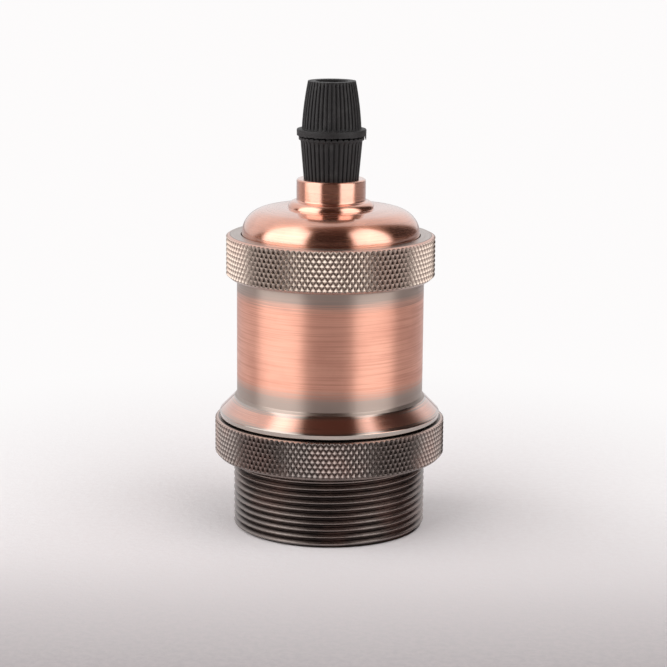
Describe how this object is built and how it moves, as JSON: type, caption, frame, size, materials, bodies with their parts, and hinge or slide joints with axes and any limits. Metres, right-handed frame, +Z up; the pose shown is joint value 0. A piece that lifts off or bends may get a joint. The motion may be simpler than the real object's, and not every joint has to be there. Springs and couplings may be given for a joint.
{
  "type": "lamp holder",
  "caption": "Copper coloured screw-shell lamp holder with a knurled shade ring on a threaded skirt, a domed cap and a black cord grip.",
  "frame": {"origin": "centre of the skirt's rim, on the surface that the holder stands on", "axes": "+Z up the axis, from the lamp's opening to the cord grip; the centre contact's rivet lies towards +Y"},
  "size_m": [0.0474, 0.0474, 0.092],
  "materials": {
    "brushed_copper": "copper plated brass, brushed round the barrel and polished on the flare",
    "dark_bronze": "dark bronze plated brass with a diamond knurl",
    "aged_copper": "brownish copper plated brass with a diamond knurl",
    "polished_copper": "polished copper plated brass",
    "black_nylon": "matt black moulded nylon",
    "porcelain": "glazed white porcelain, opaque",
    "shell_brass": "bright drawn brass",
    "spring_bronze": "phosphor bronze strip",
    "terminal_brass": "machined brass",
    "plated_steel": "zinc plated steel",
    "spring_steel": "oiled spring steel"
  },
  "bodies": {
    "holder": {"barrel": "brushed_copper", "cap": "polished_copper", "grip_body": "black_nylon", "ceramic_sleeve": "porcelain", "ceramic_base": "porcelain", "screw_shell": "shell_brass", "contact_rivet": "terminal_brass", "shell_rivets": "terminal_brass", "live_strap": "terminal_brass", "neutral_strap": "terminal_brass", "live_terminal": "terminal_brass", "neutral_terminal": "terminal_brass", "live_screw": "plated_steel", "neutral_screw": "plated_steel", "retaining_ring": "spring_steel", "earth_washer": "plated_steel", "earth_screw": "plated_steel"},
    "shade_ring": {"shade_ring": "dark_bronze"},
    "lock_ring": {"lock_ring": "aged_copper"},
    "grip_nut": {"grip_nut": "black_nylon"},
    "centre_contact": {"centre_contact": "spring_bronze"}
  },
  "joints": [
    {"name": "shade_ring_travel", "type": "slide", "parent": "holder", "child": "shade_ring", "axis": [0, 0, -1], "range_m": [0, 0.0146]},
    {"name": "lock_ring_lift", "type": "slide", "parent": "holder", "child": "lock_ring", "axis": [0, 0, 1], "range_m": [0, 0.042]},
    {"name": "grip_nut_lift", "type": "slide", "parent": "holder", "child": "grip_nut", "axis": [0, 0, 1], "range_m": [0, 0.012]},
    {"name": "contact_spring", "type": "hinge", "parent": "holder", "child": "centre_contact", "pos_m": [0, 0.0058, 0.0264], "axis": [-1, 0, 0], "range_deg": [0, 8], "stiffness_Nm_per_rad": 0.03}
  ]
}
